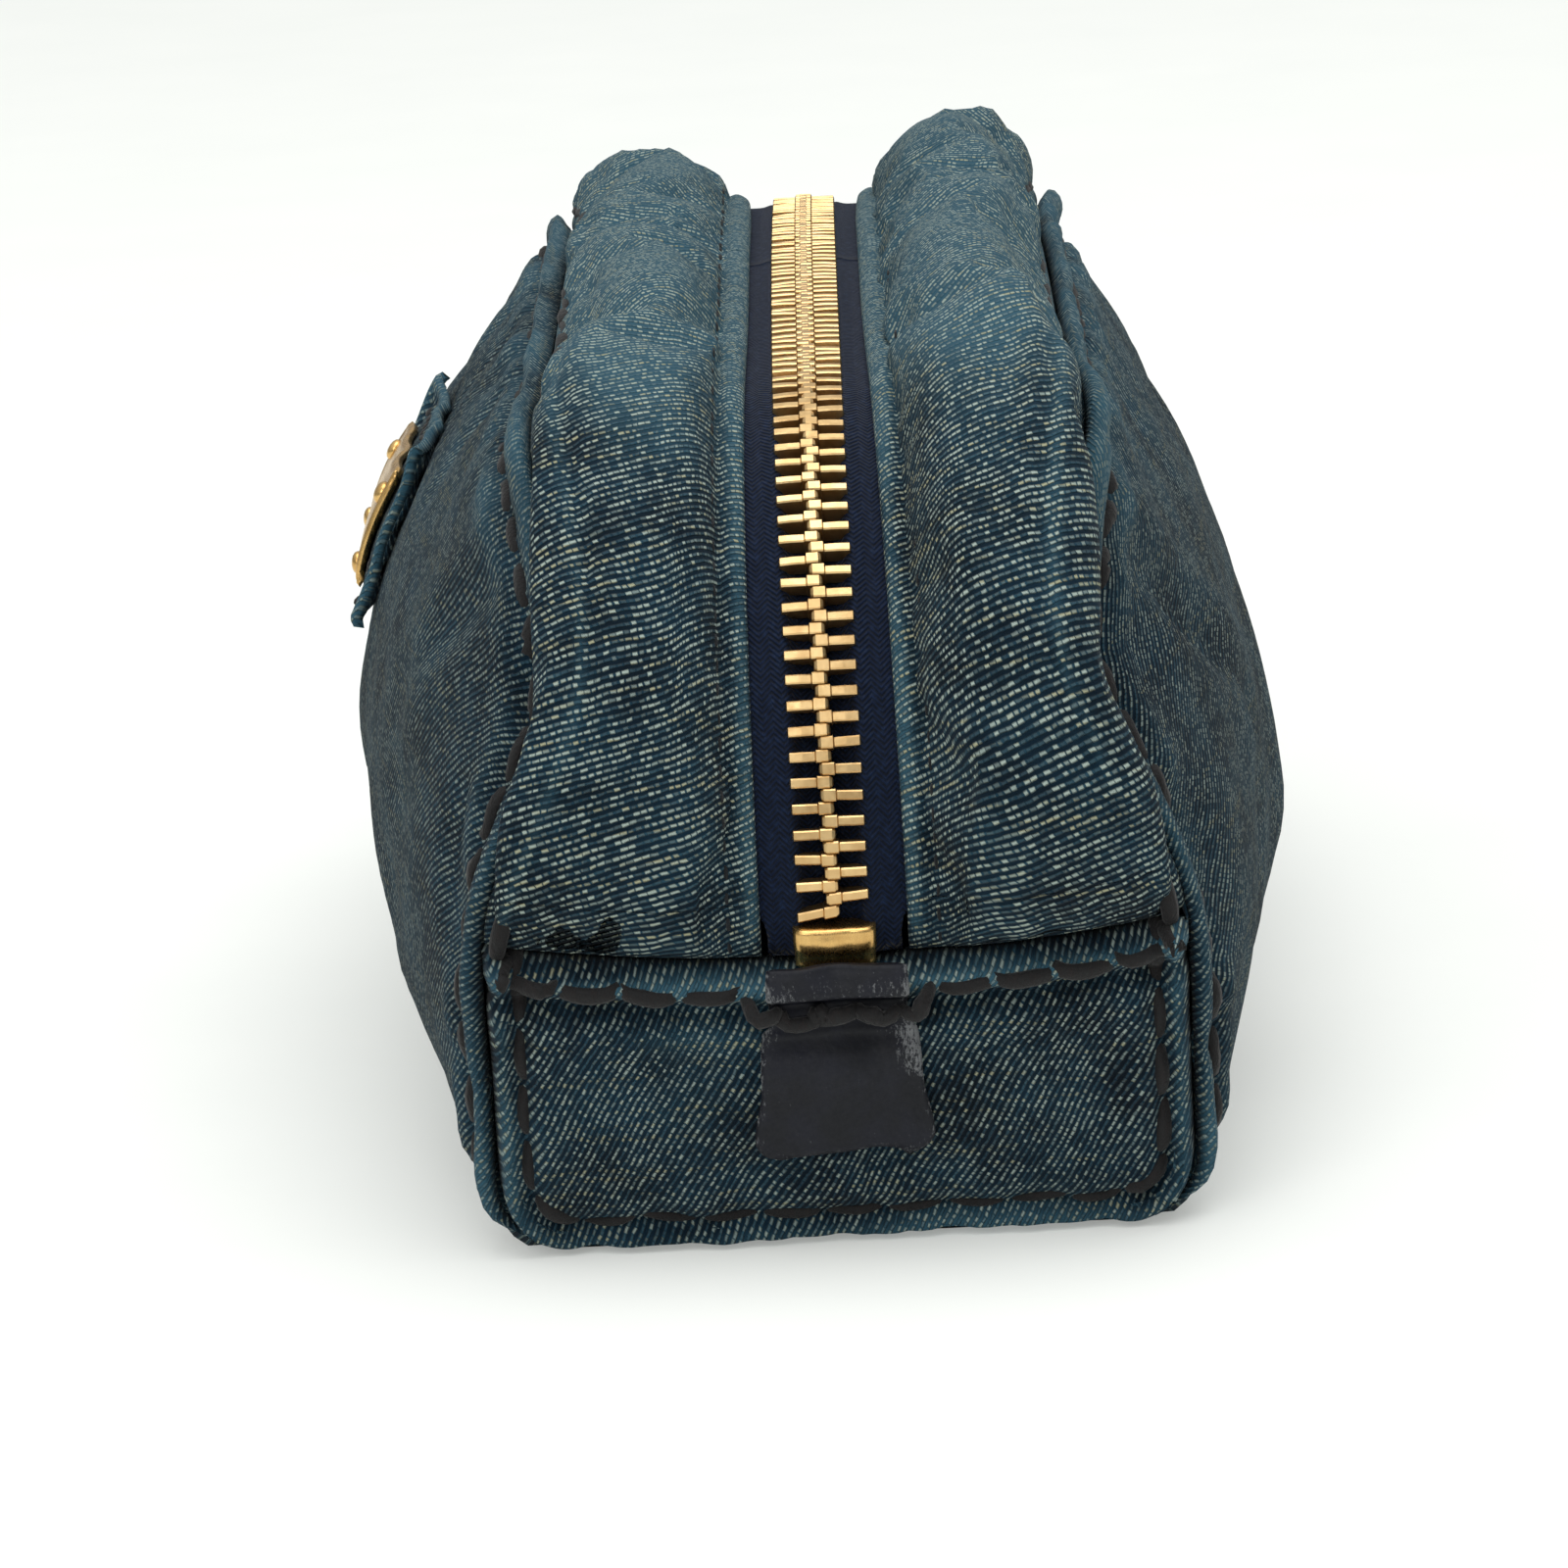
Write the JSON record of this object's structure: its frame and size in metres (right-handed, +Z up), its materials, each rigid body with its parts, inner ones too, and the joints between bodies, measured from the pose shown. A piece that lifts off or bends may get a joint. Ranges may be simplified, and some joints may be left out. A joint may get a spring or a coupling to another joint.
{
  "type": "zipped brush pouch",
  "caption": "Soft denim pouch for brushes, loaf-shaped, with a metal zip over the top and down both ends, leather tabs and a metal plate on the front.",
  "frame": {"origin": "middle of the underside, on the surface that the pouch stands on", "axes": "+X along the pouch to the end with the zip's bottom stop, -Y out of the front with the patch, +Z up"},
  "size_m": [0.197, 0.088, 0.0843],
  "materials": {
    "denim": "washed indigo denim twill, matt, pale flecks",
    "lining": "plain dark cotton, matt",
    "zip_tape": "woven navy polyester, slight sheen",
    "leather": "dark navy smooth leather, scuffed at the edges",
    "thread": "heavy black-brown topstitching thread, waxed",
    "brass": "polished pale brass"
  },
  "bodies": {
    "root": {"front_panel": "denim", "front_lining": "lining", "back_panel": "denim", "back_lining": "lining", "near_end_panel": "denim", "near_end_lining": "lining", "far_end_panel": "denim", "far_end_lining": "lining", "front_strip_near": "denim", "front_tape_near": "zip_tape", "front_strip_lining_near": "lining", "front_teeth_near": "brass", "front_strip_far": "denim", "front_tape_far": "zip_tape", "front_strip_lining_far": "lining", "front_teeth_far": "brass", "back_strip_near": "denim", "back_tape_near": "zip_tape", "back_strip_lining_near": "lining", "back_teeth_near": "brass", "back_strip_far": "denim", "back_tape_far": "zip_tape", "back_strip_lining_far": "lining", "back_teeth_far": "brass", "bottom_stop": "brass", "front_top_stop": "brass", "back_top_stop": "brass", "near_tab": "leather", "far_tab": "leather", "front_patch": "denim", "badge_plate": "brass", "badge_rivet_1": "brass", "badge_rivet_2": "brass", "badge_rivet_3": "brass", "badge_rivet_4": "brass"},
    "front_lip": {"front_strip_lip": "denim", "front_tape_lip": "zip_tape", "front_strip_lining_lip": "lining", "front_teeth_lip": "brass"},
    "back_lip": {"back_strip_lip": "denim", "back_tape_lip": "zip_tape", "back_strip_lining_lip": "lining", "back_teeth_lip": "brass"},
    "slider": {"slider_body": "brass", "slider_lower_plate": "brass"},
    "pull": {"pull_ring": "brass", "pull_tab": "leather"}
  },
  "joints": [
    {"name": "mouth_front", "type": "hinge", "parent": "root", "child": "front_lip", "pos_m": [0, -0.0244, 0.0755], "axis": [1, 0, 0], "range_deg": [0, 60]},
    {"name": "mouth_back", "type": "hinge", "parent": "root", "child": "back_lip", "pos_m": [0, 0.0244, 0.0755], "axis": [-1, 0, 0], "range_deg": [0, 60]},
    {"name": "slider_travel", "type": "hinge", "parent": "root", "child": "slider", "pos_m": [-0.0526, 0, 0.0351], "axis": [0, 1, 0], "range_deg": [0, 77]},
    {"name": "pull_swing", "type": "hinge", "parent": "slider", "child": "pull", "pos_m": [-0.0969, 0, 0.0351], "axis": [0, 1, 0], "range_deg": [0, 160]}
  ],
  "couplings": [
    {"joint": "mouth_back", "follows": "mouth_front", "ratio": 1}
  ]
}
